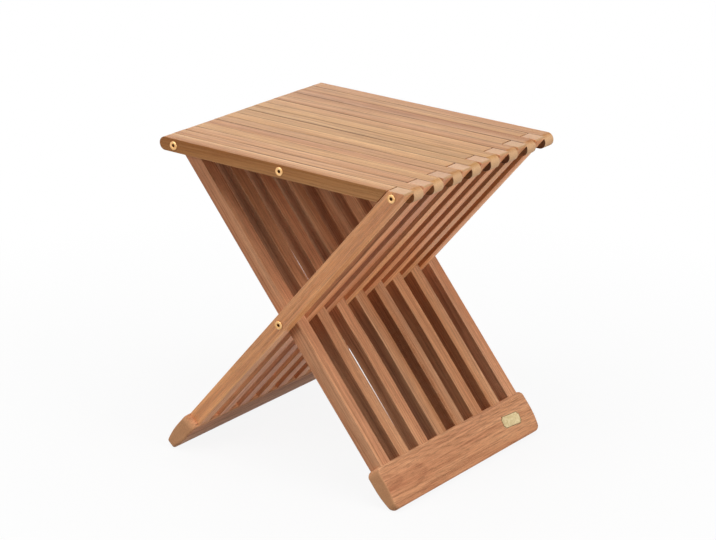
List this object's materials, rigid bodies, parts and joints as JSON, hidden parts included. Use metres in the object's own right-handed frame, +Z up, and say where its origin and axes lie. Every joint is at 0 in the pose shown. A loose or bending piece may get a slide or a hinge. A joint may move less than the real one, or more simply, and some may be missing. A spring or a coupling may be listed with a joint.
{
  "type": "folding stool",
  "caption": "Folding stool with a slatted wooden seat on two crossed frames of slats, turning on hollow brass axles, each frame standing on a wide rounded foot bar.",
  "frame": {"origin": "on the floor under the middle of the seat", "axes": "+Z up, +X along the seat slats towards the hinge axle, +Y across the slats towards the back"},
  "size_m": [0.3982, 0.3622, 0.44],
  "materials": {
    "seat_teak": "bare sanded teak with fine straight grain",
    "leg_teak": "bare sanded teak with fine straight grain",
    "foot_teak": "bare sanded teak with fine straight grain",
    "brass": "turned brass, lightly dulled"
  },
  "bodies": {
    "hinge_frame": {"hinge_leg_1": "leg_teak", "hinge_leg_2": "leg_teak", "hinge_leg_3": "leg_teak", "hinge_leg_4": "leg_teak", "hinge_leg_5": "leg_teak", "hinge_leg_6": "leg_teak", "hinge_leg_7": "leg_teak", "hinge_leg_8": "leg_teak", "hinge_foot": "foot_teak", "hinge_axle": "brass", "hinge_ring_front": "brass", "hinge_ring_back": "brass", "cross_axle": "brass", "cross_ring_front": "brass", "cross_ring_back": "brass"},
    "seat": {"seat_slat_01": "seat_teak", "seat_slat_02": "seat_teak", "seat_slat_03": "seat_teak", "seat_slat_04": "seat_teak", "seat_slat_05": "seat_teak", "seat_slat_06": "seat_teak", "seat_slat_07": "seat_teak", "seat_slat_08": "seat_teak", "seat_slat_09": "seat_teak", "seat_slat_10": "seat_teak", "seat_slat_11": "seat_teak", "seat_slat_12": "seat_teak", "seat_slat_13": "seat_teak", "seat_slat_14": "seat_teak", "seat_slat_15": "seat_teak", "seat_slat_16": "seat_teak", "hook_axle": "brass", "hook_ring_front": "brass", "hook_ring_back": "brass", "middle_axle": "brass", "middle_ring_front": "brass", "middle_ring_back": "brass"},
    "hook_frame": {"hook_leg_1": "leg_teak", "hook_leg_2": "leg_teak", "hook_leg_3": "leg_teak", "hook_leg_4": "leg_teak", "hook_leg_5": "leg_teak", "hook_leg_6": "leg_teak", "hook_leg_7": "leg_teak", "hook_leg_8": "leg_teak", "hook_foot": "foot_teak"}
  },
  "joints": [
    {"name": "seat_lift", "type": "hinge", "parent": "hinge_frame", "child": "seat", "pos_m": [0.17965, 0, 0.43075], "axis": [0, 1, 0], "range_deg": [0, 75]},
    {"name": "leg_fold", "type": "hinge", "parent": "hinge_frame", "child": "hook_frame", "pos_m": [0.00245, 0, 0.2204], "axis": [0, 1, 0], "range_deg": [0, 73.7]}
  ],
  "couplings": [
    {"joint": "leg_fold", "follows": "seat_lift", "ratio": 0.9826}
  ]
}
